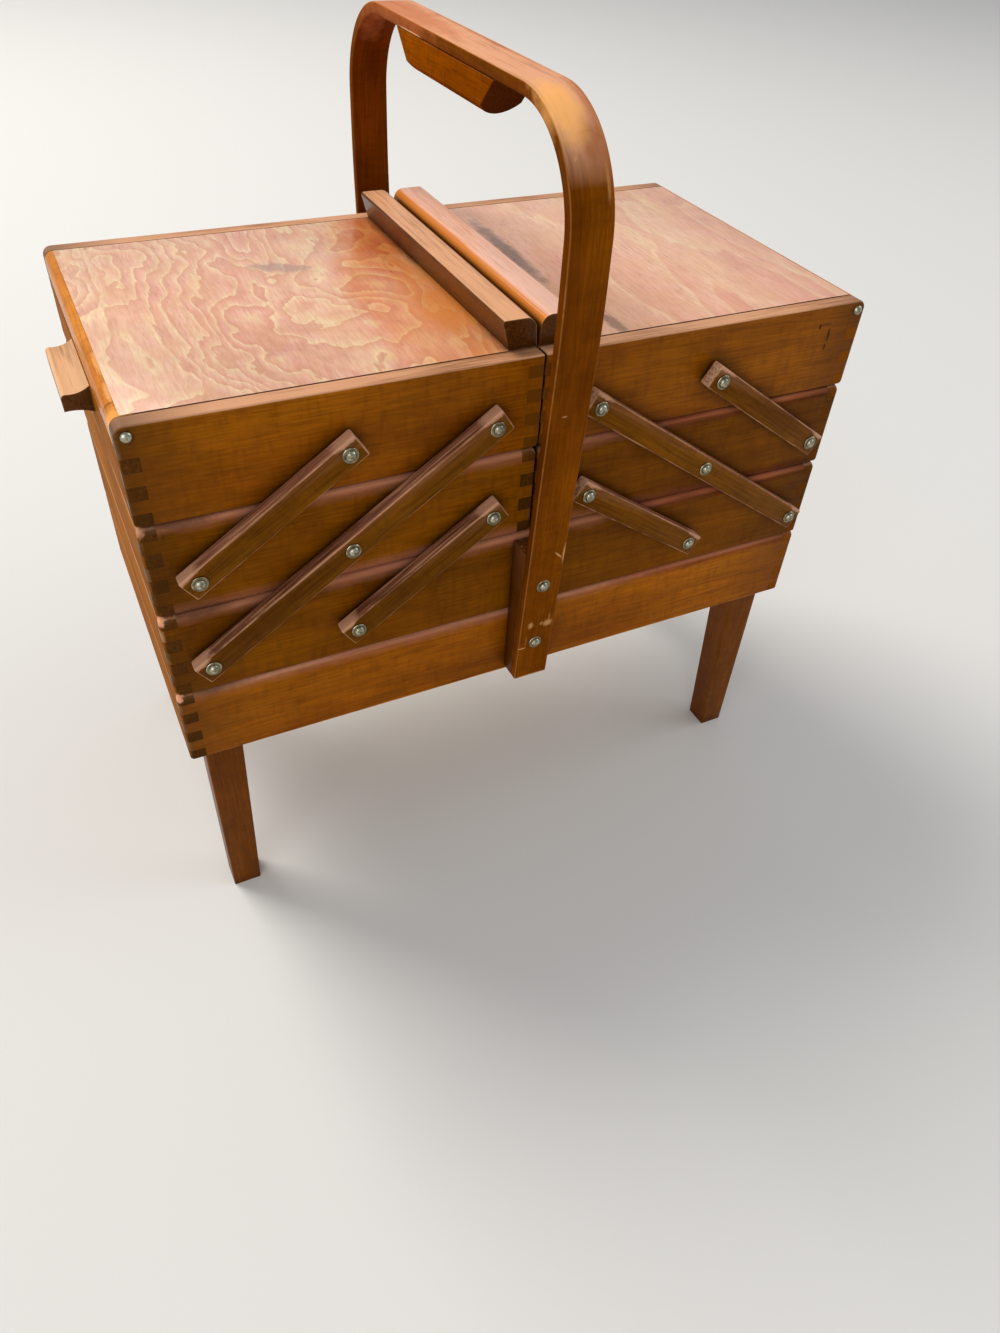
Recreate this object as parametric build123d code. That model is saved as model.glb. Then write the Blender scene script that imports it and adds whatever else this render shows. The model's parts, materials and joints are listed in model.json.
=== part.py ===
from build123d import *

import os
from math import atan2, degrees, hypot, sqrt

# Sewing carrier: a box on four legs whose upper trays swing out on riveted arms.
# Millimetres. Origin on the floor under the middle, +X to the right, +Y to the back, +Z up.
# "side" is -1 for the left half and +1 for the right half, which mirror each other.

# overall
box_length = 450.0
box_depth = 236.0
board = 9.5

# levels, from the floor up
leg_height = 150.0
base_height = 54.4
lower_height = 57.9
mid_height = 57.9
top_height = 55.5
level_gap = 0.5
half_gap = 1.0

# rounding of the boards
rim_radius = 5.0
foot_radius = 2.5
corner_radius = 2.5
arris_radius = 1.0
base_finger_count = 7
lower_finger_count = 7
mid_finger_count = 7
top_outer_finger_count = 5
top_inner_finger_count = 7

# bottoms, let into grooves
bottom_thickness = 3.5
groove_depth = 3.0
bottom_lift = 4.0

# legs
leg_width = 24.0
leg_foot_width = 19.0
leg_stop = 6.0
leg_arris = 1.2

# linkage: foot pivots in from the ends, head pivots out from the middle, and how far each arm rises
long_foot_inset = 22.5
upper_foot_inset = 24.0
long_head_inset = 32.5
lower_head_inset = 32.0
arm_rise = 57.6
lower_pivot_lift = 24.6
upper_pivot_lift = 25.5
arm_width = 15.0
arm_thickness = 8.5
arm_overhang = 8.5
arm_arris = 1.0
washer_thickness = 2.5
washer_radius = 5.5

# rivets and fits
rivet_radius = 2.0
flange_radius = 4.5
flange_thickness = 0.8
dome_radius = 3.1
dome_height = 2.2
tail_radius = 3.4
tail_thickness = 1.2
snug_clearance = 0.02
pivot_clearance = 0.05
open_pivot_clearance = 0.3

# lids
lid_thickness = 5.0
lid_gap = 1.0
lid_rest_gap = 0.3
nosing_width = 12.0
nosing_height = 17.0
nosing_radius = 5.5
nosing_clearance = 0.6
pin_inset = 5.7
pin_drop = 5.6
pin_depth = 12.0
lip_height = 16.8
lip_foot = 17.0
lip_undercut = 4.8
lip_lean = 1.4
lip_inner_radius = 6.5
lip_outer_radius = 1.6

# side pulls, measured out from the end board and down from the top of the box
pull_length = 60.0
pull_reach = 15.2
pull_drop = 21.0
pull_height = 15.0
pull_dip = 3.2
pull_nose_height = 9.5
pull_nose_radius = 2.4
pull_hollow = 1.0

# handle
strap_width = 24.0
strap_thickness = 6.5
strap_standoff = 16.5
strap_lift = 4.0
strap_spread = 33.0
spread_height = 252.0
strap_top_spread = 31.8
bow_height = 351.0
bow_radius = 57.0
spread_radius = 560.0
strap_arris = 1.2
packer_height = 104.0
packer_bite = 2.0
handle_rivet_lifts = (36.0, 85.0)
seat_depth = 0.4
grip_length = 128.0
grip_depth = 20.0
grip_side = 14.0
grip_arris = 1.0

# places worked out from the sizes above
half_length = box_length / 2
half_depth = box_depth / 2
base_z = leg_height
lower_z = base_z + base_height
mid_z = lower_z + lower_height + level_gap
top_z = mid_z + mid_height + level_gap
box_top = top_z + top_height
inner_x = half_gap / 2
outer_board_top = box_top - nosing_height
inner_board_top = box_top - lid_thickness - lid_rest_gap
pin_x = half_length - pin_inset
pin_z = box_top - pin_drop
arm_run = (half_length - long_foot_inset - long_head_inset) / 2
long_foot_z = lower_z + lower_pivot_lift
upper_foot_z = mid_z + upper_pivot_lift
arm_outer = washer_thickness + arm_thickness
front_and_back = {"front": -1, "back": 1}
left_and_right = {"left": -1, "right": 1}


def block(xa, xb, ya, yb, za, zb):
    """Box between two opposite corners."""
    middle = Pos((xa + xb) / 2, (ya + yb) / 2, (za + zb) / 2)
    return middle * Box(abs(xb - xa), abs(yb - ya), abs(zb - za))


def through(outline, ya, yb):
    """Carry an outline of (x, z) points along Y. outline is a closed list of edges."""
    face = make_face([Plane.XZ * edge for edge in outline])
    return Pos(0, min(ya, yb), 0) * extrude(face, abs(yb - ya), dir=(0, 1, 0))


def across(outline, xa, xb):
    """Carry an outline of (y, z) points along X."""
    face = make_face([Plane.YZ * edge for edge in outline])
    return Pos(min(xa, xb), 0, 0) * extrude(face, abs(xb - xa), dir=(1, 0, 0))


def rounded(corners, radii):
    """Closed outline with one radius for each corner."""
    return FilletPolyline(*corners, radius=radii, close=True).edges()


def rod(x, z, radius, ya, yb):
    """Round bar along Y."""
    return Pos(x, (ya + yb) / 2, z) * Rot(90, 0, 0) * Cylinder(radius, abs(yb - ya))


def pillow(xa, xb, z_low, z_high, foot, rim):
    """Block of the full depth with rounded corners: foot and rim are its low and high radii."""
    solid = block(xa, xb, -half_depth, half_depth, z_low, z_high)
    solid = fillet(solid.edges().filter_by(Axis.Z), corner_radius)
    solid = fillet(solid.edges().group_by(Axis.Z)[0], foot)
    return fillet(solid.edges().group_by(Axis.Z)[-1], rim)


def bottom_panel(xa, xb, z_low):
    """Plywood bottom between two end boards, with its edges in their grooves."""
    reach = board - groove_depth
    x_low, x_high = min(xa, xb) + reach, max(xa, xb) - reach
    y = half_depth - reach
    low = z_low + bottom_lift
    return block(x_low, x_high, -y, y, low, low + bottom_thickness)


def end_board(shell, x_face, inward, z_low, z_high, finger_count):
    """One end board with its fingers, and the space that the fingers take from the sides."""
    x_back = x_face + inward * board
    y = half_depth - board
    region = block(x_face, x_back, -y, y, z_low, z_high)
    finger = (z_high - z_low) / finger_count
    fingers = Part()
    for slot in range(0, finger_count, 2):
        z = z_high - slot * finger
        for sign in (-1, 1):
            fingers += block(x_face, x_back, sign * y, sign * half_depth, z - finger, z)
    return shell & (region + fingers), fingers


def side_board(shell, sign, xa, xb, z_low, z_high, fingers):
    """The front (sign -1) or back (sign 1) board, cut around the end boards' fingers."""
    y = half_depth - board
    return (shell & block(xa, xb, sign * y, sign * half_depth, z_low, z_high)) - fingers


def four_boards(shell, x_outer, x_inner, z_low, z_high, outer_end, inner_end, panel):
    """Boards of one finger-jointed tray. outer_end and inner_end are (top, finger count)."""
    inward = -1 if x_outer > x_inner else 1
    outer, outer_fingers = end_board(shell, x_outer, inward, z_low, *outer_end)
    inner, inner_fingers = end_board(shell, x_inner, -inward, z_low, *inner_end)
    fingers = outer_fingers + inner_fingers
    boards = {"outer": outer - panel, "inner": inner - panel}
    for name, sign in front_and_back.items():
        board_solid = side_board(shell, sign, x_outer, x_inner, z_low, z_high, fingers)
        boards[name] = board_solid - panel
    return boards


def turned(body, low, tip):
    """Turn an outline about Y: from low on the axis along body, then by a dome to tip."""
    dome = TangentArc(tip, body @ 1, tangent=(1, 0))
    return revolve(make_face([*body.edges(), dome, Line(tip, low)]), Axis.Y)


def rivet(seat):
    """Rivet along +Y: the board's outer face is at 0 and the head's underside is at seat."""
    low = -board - tail_thickness
    flange_top = seat + flange_thickness
    body = Polyline(
        (0, low),
        (tail_radius, low),
        (tail_radius, -board),
        (rivet_radius, -board),
        (rivet_radius, seat),
        (flange_radius, seat),
        (flange_radius, flange_top),
        (dome_radius, flange_top),
    )
    return turned(body, (0, low), (0, flange_top + dome_height))


def washer():
    """Spacing washer between a board and an arm, standing on the board's outer face."""
    ring = Cylinder(washer_radius, washer_thickness)
    ring -= Cylinder(rivet_radius + snug_clearance, washer_thickness)
    return Pos(0, washer_thickness / 2, 0) * Rot(90, 0, 0) * ring


def lid_pin():
    """Dome-headed pin along +Y: through the board and into the end of the lid's nosing."""
    low = -board - nosing_clearance - pin_depth
    body = Polyline((0, low), (rivet_radius, low), (rivet_radius, 0), (dome_radius, 0))
    return turned(body, (0, low), (0, dome_height))


def set_at(piece, x, z, sign):
    """Stand a piece that points along +Y on the front (sign -1) or back (sign 1) face."""
    turn = 180 if sign < 0 else 0
    return Pos(x, sign * half_depth, z) * Rot(0, 0, turn) * piece


def pivot_points(side):
    """Foot and head of each kind of arm as (x, z), and the long arm's middle pivot."""
    step = -side * arm_run
    long_foot = (side * (half_length - long_foot_inset), long_foot_z)
    lower_foot = (side * (lower_head_inset + arm_run), long_foot_z)
    upper_foot = (side * (half_length - upper_foot_inset), upper_foot_z)
    return {
        "long_foot": long_foot,
        "long_middle": (long_foot[0] + step, long_foot[1] + arm_rise),
        "long_head": (long_foot[0] + 2 * step, long_foot[1] + 2 * arm_rise),
        "lower_foot": lower_foot,
        "lower_head": (lower_foot[0] + step, lower_foot[1] + arm_rise),
        "upper_foot": upper_foot,
        "upper_head": (upper_foot[0] + step, upper_foot[1] + arm_rise),
    }


def arm(foot, head, sign, holes):
    """Square-ended arm from foot to head. holes maps (x, z) to the clearance round its rivet."""
    run, rise = head[0] - foot[0], head[1] - foot[1]
    length = hypot(run, rise) + 2 * arm_overhang
    bar = Box(length, arm_thickness, arm_width)
    bar = fillet(bar.edges(), arm_arris)
    y = sign * (half_depth + washer_thickness + arm_thickness / 2)
    middle = Pos((foot[0] + head[0]) / 2, y, (foot[1] + head[1]) / 2)
    solid = middle * Rot(0, -degrees(atan2(rise, run)), 0) * bar
    for (x, z), clearance in holes.items():
        solid -= rod(x, z, rivet_radius + clearance, y - arm_thickness, y + arm_thickness)
    return solid


def strap_face(lift):
    """How far the strap's outer face stands off the box, at a height above the base."""
    lean = (strap_spread - strap_standoff) / (spread_height - strap_lift)
    return strap_standoff + lean * (lift - strap_lift)


def bow_outline(inset):
    """One face of the strap as a wire in (y, z), inset from its outer face."""
    foot = half_depth + strap_standoff - inset
    knee = half_depth + strap_spread - inset
    shoulder = half_depth + strap_top_spread - inset
    top = base_z + bow_height - inset
    points = [
        (-foot, base_z + strap_lift),
        (-knee, base_z + spread_height),
        (-shoulder, top),
        (shoulder, top),
        (knee, base_z + spread_height),
        (foot, base_z + strap_lift),
    ]
    radii = [spread_radius - inset, bow_radius - inset, bow_radius - inset, spread_radius - inset]
    return FilletPolyline(*points, radius=radii)


def handle_bow():
    """Bent strap over the box, its ends thickened where they are riveted to the boards."""
    outer, inner = bow_outline(0), bow_outline(strap_thickness)
    closing = [Line(outer @ 0, inner @ 0), Line(outer @ 1, inner @ 1)]
    outline = [*outer.edges(), *inner.edges(), *closing]
    strap = across(outline, -strap_width / 2, strap_width / 2)
    low, high = base_z + strap_lift, base_z + strap_lift + packer_height
    for sign in front_and_back.values():
        bite = packer_bite - strap_thickness
        corners = [
            (sign * half_depth, low),
            (sign * (half_depth + strap_face(strap_lift) + bite), low),
            (sign * (half_depth + strap_face(strap_lift + packer_height) + bite), high),
            (sign * half_depth, high),
        ]
        strap += across(rounded(corners, [0, 0, 0, 0]), -strap_width / 2, strap_width / 2)
    side_edges = [edge for face in strap.faces().filter_by(Axis.X) for edge in face.edges()]
    free_edges = [edge for edge in side_edges if abs(abs(edge.center().Y) - half_depth) > strap_arris]
    bow = fillet(free_edges, strap_arris)
    for sign in front_and_back.values():
        for lift in handle_rivet_lifts:
            seat = half_depth + strap_face(lift) - seat_depth
            z = base_z + lift
            bow -= rod(0, z, rivet_radius + snug_clearance, 0, sign * (seat + strap_thickness))
            bow -= rod(0, z, flange_radius + snug_clearance, sign * seat, sign * (seat + strap_thickness))
    return bow


def handle_grip():
    """D-section block under the top of the bow, with slanting ends."""
    high = base_z + bow_height - strap_thickness
    side_low, low = high - grip_side, high - grip_depth
    half = strap_width / 2
    section = [
        *Polyline((-half, side_low), (-half, high), (half, high), (half, side_low)).edges(),
        ThreePointArc((half, side_low), (0, low), (-half, side_low)),
    ]
    top_reach, low_reach = grip_length / 2, grip_length / 2 - grip_depth
    ends = rounded(
        [(-top_reach, high), (top_reach, high), (low_reach, low), (-low_reach, low)], [0, 0, 0, 0]
    )
    solid = through(section, -top_reach, top_reach) & across(ends, -half, half)
    end_edges = [edge for edge in solid.edges() if edge.center().Z < high - 0.5]
    return fillet(end_edges, grip_arris)


def leg(x_side, y_side):
    """Square leg standing in a corner of the base, tapered on its two inner faces."""

    def section(width, z):
        x = x_side * (half_length - board - width / 2)
        y = y_side * (half_depth - board - width / 2)
        return Pos(x, y, z) * RectangleRounded(width, width, leg_arris)

    tapered = loft([section(leg_foot_width, 0), section(leg_width, base_z)])
    return tapered + extrude(section(leg_width, base_z), base_height - leg_stop)


def pull(side):
    """Finger pull on a top tray's end board: its top sinks towards the nose, its underside is hollow."""
    shelf_drop = pull_drop + pull_dip
    under_drop = shelf_drop + pull_nose_height
    foot_drop = pull_drop + pull_height

    def at(out, drop):
        return side * (half_length + out), box_top - drop

    top = Spline(
        at(0, pull_drop), at(pull_reach / 2, shelf_drop), at(pull_reach - pull_nose_radius, shelf_drop)
    )
    front = FilletPolyline(
        top @ 1, at(pull_reach, shelf_drop), at(pull_reach, under_drop), radius=[pull_nose_radius * 0.9]
    )
    middle = at(pull_reach / 2, (under_drop + foot_drop) / 2 - pull_hollow)
    under = ThreePointArc(front @ 1, middle, at(0, foot_drop))
    outline = [top, *front.edges(), under, Line(under @ 1, top @ 0)]
    return through(outline, -pull_length / 2, pull_length / 2)


def lid_panel(side):
    """Plywood panel of a lid, flush with the tray's front and back boards."""
    y = half_depth - board - lid_gap
    outer = half_length - nosing_width
    panel = block(side * inner_x, side * outer, -y, y, box_top - lid_thickness, box_top)
    inner_edges = [edge for edge in panel.edges().filter_by(Axis.Y) if abs(edge.center().X) < outer - 1]
    return fillet(inner_edges, arris_radius)


def lid_nosing(side):
    """Solid edge of a lid: it covers the end board and turns on the two lid pins."""
    y = half_depth - board - nosing_clearance
    swing = outer_board_top - pin_z
    reach = abs(swing) - nosing_clearance
    out, back = pin_inset, pin_inset - nosing_width

    def at(along, up):
        return side * (pin_x + along), pin_z + up

    out_low, back_low = -sqrt(reach**2 - out**2), -sqrt(reach**2 - back**2)
    upper = FilletPolyline(
        at(back, back_low), at(back, pin_drop), at(out, pin_drop), at(out, out_low),
        radius=[0, nosing_radius],
    )
    under = ThreePointArc(at(out, out_low), at(0, -reach), at(back, back_low))
    solid = through([*upper.edges(), under], -y, y)
    for sign in front_and_back.values():
        depth = y - pin_depth - pivot_clearance
        solid -= rod(side * pin_x, pin_z, rivet_radius + pivot_clearance, sign * depth, sign * y)
    return solid


def lid_lip(side):
    """Bar glued along a lid's inner edge: undercut for the fingers, rounded towards the middle."""
    y = half_depth - board - lid_gap
    low, high = box_top, box_top + lip_height
    corners = [
        (inner_x, low),
        (inner_x + lip_lean, high),
        (inner_x + lip_foot + lip_undercut, high),
        (inner_x + lip_foot, low),
    ]
    outline = rounded([(side * x, z) for x, z in corners], [0, lip_inner_radius, lip_outer_radius, 0])
    return through(outline, -y, y)


def base_parts():
    """Leg frame: four boards, a bottom and the legs in its corners."""
    shell = pillow(-half_length, half_length, base_z, lower_z, arris_radius, rim_radius)
    panel = bottom_panel(-half_length, half_length, base_z)
    boards = four_boards(
        shell, half_length, -half_length, base_z, lower_z,
        (lower_z, base_finger_count), (lower_z, base_finger_count), panel,
    )
    legs = {
        f"leg_{depth_name}_{side_name}": leg(side, sign)
        for side_name, side in left_and_right.items()
        for depth_name, sign in front_and_back.items()
    }
    for piece in legs.values():
        panel -= piece
    for sign in front_and_back.values():
        hole = rod(0, base_z + handle_rivet_lifts[0], rivet_radius + snug_clearance,
                   sign * (half_depth - 2 * board), sign * (half_depth + board))
        name = "front" if sign < 0 else "back"
        boards[name] -= hole
    return {
        "base_front_board": boards["front"],
        "base_back_board": boards["back"],
        "base_left_board": boards["inner"],
        "base_right_board": boards["outer"],
        "base_bottom_panel": panel,
        **legs,
    }


def drill(boards, points):
    """Rivet holes through the front and back boards at (x, z) points."""
    radius = rivet_radius + snug_clearance
    for name, sign in front_and_back.items():
        for x, z in points:
            boards[name] -= rod(x, z, radius, sign * (half_depth - 2 * board), sign * (half_depth + board))


def lower_parts():
    """Fixed frame on the base: with it, one deep compartment."""
    top = lower_z + lower_height
    shell = pillow(-half_length, half_length, lower_z, top, arris_radius, rim_radius)
    boards = four_boards(
        shell, half_length, -half_length, lower_z, top,
        (top, lower_finger_count), (top, lower_finger_count), Part(),
    )
    points = [(0, base_z + handle_rivet_lifts[1])]
    for side in left_and_right.values():
        pivots = pivot_points(side)
        points += [pivots["long_foot"], pivots["lower_foot"]]
    drill(boards, points)
    return {
        "lower_front_board": boards["front"],
        "lower_back_board": boards["back"],
        "lower_left_board": boards["inner"],
        "lower_right_board": boards["outer"],
    }


def tray_nodes(prefix, boards, panel):
    """Nodes of one tray: four boards and a bottom."""
    nodes = {f"{prefix}_{name}_board": solid for name, solid in boards.items()}
    nodes[f"{prefix}_bottom_panel"] = panel
    return nodes


def mid_tray(side_name, side):
    """Open middle tray."""
    top = mid_z + mid_height
    outer, inner = side * half_length, side * inner_x
    shell = pillow(outer, inner, mid_z, top, foot_radius, rim_radius)
    panel = bottom_panel(outer, inner, mid_z)
    boards = four_boards(
        shell, outer, inner, mid_z, top,
        (top, mid_finger_count), (top, mid_finger_count), panel,
    )
    pivots = pivot_points(side)
    drill(boards, [pivots["long_middle"], pivots["lower_head"], pivots["upper_foot"]])
    return tray_nodes(f"{side_name}_mid", boards, panel)


def top_tray(side_name, side):
    """Lidded top tray: its outer end board is lower, to leave room for the lid's nosing."""
    outer, inner = side * half_length, side * inner_x
    corners = [(outer, top_z), (inner, top_z), (inner, box_top), (outer, box_top)]
    profile = rounded(corners, [foot_radius, foot_radius, arris_radius, nosing_radius])
    shell = through(profile, -half_depth, half_depth)
    shell = fillet(shell.faces().sort_by(Axis.Y)[0].edges(), arris_radius)
    shell = fillet(shell.faces().sort_by(Axis.Y)[-1].edges(), arris_radius)
    panel = bottom_panel(inner, outer, top_z)
    boards = four_boards(
        shell, outer, inner, top_z, box_top,
        (outer_board_top, top_outer_finger_count), (inner_board_top, top_inner_finger_count), panel,
    )
    pivots = pivot_points(side)
    drill(boards, [pivots["long_head"], pivots["upper_head"], (side * pin_x, pin_z)])
    return tray_nodes(f"{side_name}_top", boards, panel) | {f"{side_name}_pull": pull(side)}


def arms(side_name, side):
    """Long, lower and upper arms, front and back. Heads of the short arms are the free pivots."""
    pivots = pivot_points(side)
    nodes = {}
    for name, sign in front_and_back.items():
        long_holes = {
            pivots[key]: pivot_clearance for key in ("long_foot", "long_middle", "long_head")
        }
        nodes[f"{side_name}_{name}_long_arm"] = arm(
            pivots["long_foot"], pivots["long_head"], sign, long_holes
        )
        for kind in ("lower", "upper"):
            foot, head = pivots[f"{kind}_foot"], pivots[f"{kind}_head"]
            holes = {foot: pivot_clearance, head: open_pivot_clearance}
            nodes[f"{side_name}_{name}_{kind}_arm"] = arm(foot, head, sign, holes)
    return nodes


def arm_rivets(points):
    """Rivet and washer at each (x, z) point, front and back."""
    group = []
    for x, z in points:
        for sign in front_and_back.values():
            group += [set_at(rivet(arm_outer), x, z, sign), set_at(washer(), x, z, sign)]
    return group


def rivets():
    """Rivets, grouped by the body that holds them."""
    base_points = []
    nodes = {}
    for side_name, side in left_and_right.items():
        pivots = pivot_points(side)
        base_points += [pivots["long_foot"], pivots["lower_foot"]]
        mid_points = [pivots["long_middle"], pivots["lower_head"], pivots["upper_foot"]]
        top_points = [pivots["long_head"], pivots["upper_head"]]
        pins = [set_at(lid_pin(), side * pin_x, pin_z, sign) for sign in front_and_back.values()]
        nodes[f"{side_name}_mid_rivets"] = Compound(arm_rivets(mid_points))
        nodes[f"{side_name}_top_rivets"] = Compound(arm_rivets(top_points) + pins)
    handle_rivets = [
        set_at(rivet(strap_face(lift) - seat_depth), 0, base_z + lift, sign)
        for lift in handle_rivet_lifts
        for sign in front_and_back.values()
    ]
    nodes["base_rivets"] = Compound(arm_rivets(base_points) + handle_rivets)
    return nodes


def build():
    """Every node of the carrier by name."""
    nodes = base_parts() | lower_parts()
    nodes |= {"handle_bow": handle_bow(), "handle_grip": handle_grip()}
    for side_name, side in left_and_right.items():
        nodes |= mid_tray(side_name, side)
        nodes |= top_tray(side_name, side)
        nodes |= arms(side_name, side)
        nodes[f"{side_name}_lid_panel"] = lid_panel(side)
        nodes[f"{side_name}_lid_nosing"] = lid_nosing(side)
        nodes[f"{side_name}_lid_lip"] = lid_lip(side)
    return nodes | rivets()


if __name__ == "__main__":
    os.makedirs("parts", exist_ok=True)
    for node_name, solid in build().items():
        export_step(solid, f"parts/{node_name}.step")
        print(node_name, len(solid.solids()), round(solid.volume))
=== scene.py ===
import json
import math

import bpy
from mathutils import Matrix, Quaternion, Vector


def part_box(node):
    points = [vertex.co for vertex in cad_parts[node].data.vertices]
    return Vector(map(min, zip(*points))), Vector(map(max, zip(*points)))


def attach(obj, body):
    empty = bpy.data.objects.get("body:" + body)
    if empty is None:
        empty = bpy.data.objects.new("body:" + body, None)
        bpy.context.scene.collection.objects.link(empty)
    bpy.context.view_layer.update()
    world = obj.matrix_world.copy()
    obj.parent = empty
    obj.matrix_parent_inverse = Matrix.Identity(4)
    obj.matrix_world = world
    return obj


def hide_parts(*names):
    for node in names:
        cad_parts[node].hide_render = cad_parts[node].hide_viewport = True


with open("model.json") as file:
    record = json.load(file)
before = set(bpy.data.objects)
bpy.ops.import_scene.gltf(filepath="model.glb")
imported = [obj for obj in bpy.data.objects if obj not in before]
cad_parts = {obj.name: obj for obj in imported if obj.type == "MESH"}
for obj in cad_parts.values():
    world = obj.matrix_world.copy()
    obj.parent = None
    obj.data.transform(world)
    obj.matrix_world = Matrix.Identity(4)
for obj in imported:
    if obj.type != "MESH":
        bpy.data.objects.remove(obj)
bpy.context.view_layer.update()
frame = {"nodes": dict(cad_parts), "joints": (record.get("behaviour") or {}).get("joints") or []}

scene = bpy.context.scene


def tone(red, green, blue):
    # a colour as it is picked on screen, 0 to 255, made linear for the shaders
    def linear(value):
        value /= 255
        return value / 12.92 if value <= 0.04045 else ((value + 0.055) / 1.055) ** 2.4

    return (linear(red), linear(green), linear(blue), 1.0)


# view, floor and lights

viewPoint = {
    "place": (-0.2505, -0.5455, 0.6067),
    "azimuth": -28.9,
    "elevation": 42.9,
    "roll": 4.21,
    "lens": 26.17,
    "sensor": 36.0,
    "nearest": 0.01,
}

studio = {
    "floorSize": 14,
    "floorColour": tone(224, 222, 218),
    "floorRoughness": 0.9,
    "skyColour": tone(236, 240, 246),
    "skyStrength": 0.46,
    "aim": (0, 0, 0.25),  # where the lamps point
    "key": {"place": (-1.55, 2.6, 3.6), "size": 2.3, "power": 162, "colour": (1.0, 0.965, 0.91)},
    "fill": {"place": (-2.4, -2.85, 1.8), "size": 3.2, "power": 51, "colour": (1.0, 0.98, 0.95)},
    "side": {"place": (3.3, -0.9, 2.3), "size": 2.4, "power": 29, "colour": (0.95, 0.98, 1.0)},
}


def addCamera():
    azimuth, elevation = math.radians(viewPoint["azimuth"]), math.radians(viewPoint["elevation"])
    back = Vector((
        math.sin(azimuth) * math.cos(elevation),
        -math.cos(azimuth) * math.cos(elevation),
        math.sin(elevation),
    ))
    bpy.ops.object.camera_add(location=viewPoint["place"])
    camera = bpy.context.object
    camera.rotation_mode = "QUATERNION"
    level = (-back).to_track_quat("-Z", "Y")
    camera.rotation_quaternion = level @ Quaternion((0, 0, 1), math.radians(viewPoint["roll"]))
    camera.data.sensor_width = viewPoint["sensor"]
    camera.data.lens = viewPoint["lens"]
    camera.data.clip_start = viewPoint["nearest"]
    scene.camera = camera


def addLamp(name, look):
    bpy.ops.object.light_add(type="AREA", location=look["place"])
    lamp = bpy.context.object
    lamp.name = name
    lamp.data.size = look["size"]
    lamp.data.energy = look["power"]
    lamp.data.color = look["colour"]
    lamp.rotation_mode = "QUATERNION"
    lamp.rotation_quaternion = (Vector(studio["aim"]) - lamp.location).to_track_quat("-Z", "Y")


def addStudio():
    world = bpy.data.worlds.new("paleRoom")
    world.use_nodes = True
    background = world.node_tree.nodes["Background"]
    background.inputs["Color"].default_value = studio["skyColour"]
    background.inputs["Strength"].default_value = studio["skyStrength"]
    scene.world = world
    scene.view_settings.view_transform = "Standard"

    bpy.ops.mesh.primitive_plane_add(size=studio["floorSize"])
    floor = bpy.context.object
    floor.name = "studioFloor"
    paper = bpy.data.materials.new("palePaper")
    paper.use_nodes = True
    paint = paper.node_tree.nodes["Principled BSDF"]
    paint.inputs["Base Color"].default_value = studio["floorColour"]
    paint.inputs["Roughness"].default_value = studio["floorRoughness"]
    floor.data.materials.append(paper)

    for name in ("key", "fill", "side"):
        addLamp(name + "Softbox", studio[name])


addCamera()
addStudio()
print("studio ready")


# shader building blocks

def startMaterial(name):
    material = bpy.data.materials.new(name)
    material.use_nodes = True
    tree = material.node_tree
    return material, tree, tree.nodes["Principled BSDF"]


def addNode(tree, kind, **settings):
    made = tree.nodes.new(kind)
    for name, value in settings.items():
        setattr(made, name, value)
    made.location = (220 * len(tree.nodes), 0)
    return made


def feed(tree, socket, value):
    # a socket takes either another node's output or a fixed value
    if isinstance(value, bpy.types.NodeSocket):
        tree.links.new(value, socket)
    else:
        socket.default_value = value


def calc(tree, operation, first, second=0.0, clamp=False):
    made = addNode(tree, "ShaderNodeMath", operation=operation, use_clamp=clamp)
    feed(tree, made.inputs[0], first)
    feed(tree, made.inputs[1], second)
    return made.outputs[0]


def times(tree, first, second):
    return calc(tree, "MULTIPLY", first, second)


def between(tree, value, start, full):
    # rises evenly from 0 at start to 1 at full
    return calc(tree, "DIVIDE", calc(tree, "SUBTRACT", value, start), full - start, clamp=True)


def splitVector(tree, vector):
    made = addNode(tree, "ShaderNodeSeparateXYZ")
    tree.links.new(vector, made.inputs[0])
    return made.outputs


def moveVector(tree, vector, place=(0, 0, 0), turn=(0, 0, 0), scale=(1, 1, 1)):
    made = addNode(tree, "ShaderNodeMapping", vector_type="POINT")
    feed(tree, made.inputs["Vector"], vector)
    made.inputs["Location"].default_value = place
    made.inputs["Rotation"].default_value = [math.radians(angle) for angle in turn]
    made.inputs["Scale"].default_value = scale
    return made.outputs[0]


def noise(tree, vector, scale, detail=2.0, roughness=0.5, distortion=0.0):
    made = addNode(tree, "ShaderNodeTexNoise")
    feed(tree, made.inputs["Vector"], vector)
    made.inputs["Scale"].default_value = scale
    made.inputs["Detail"].default_value = detail
    made.inputs["Roughness"].default_value = roughness
    made.inputs["Distortion"].default_value = distortion
    return made.outputs["Fac"]


def stretched(tree, vector, scale, **settings):
    return noise(tree, moveVector(tree, vector, scale=scale), 1.0, **settings)


def ramp(tree, value, stops):
    # stops are (place, grey)
    made = addNode(tree, "ShaderNodeValToRGB")
    feed(tree, made.inputs[0], value)
    elements = made.color_ramp.elements
    while len(elements) < len(stops):
        elements.new(0.5)
    for element, (place, grey) in zip(elements, stops):
        element.position = place
        element.color = (grey, grey, grey, 1)
    return made.outputs[0]


def blendColour(tree, amount, under, over, way="MIX"):
    made = addNode(tree, "ShaderNodeMix", data_type="RGBA", blend_type=way, clamp_factor=True)
    feed(tree, made.inputs[0], amount)
    feed(tree, made.inputs[6], under)
    feed(tree, made.inputs[7], over)
    return made.outputs[2]


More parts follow.
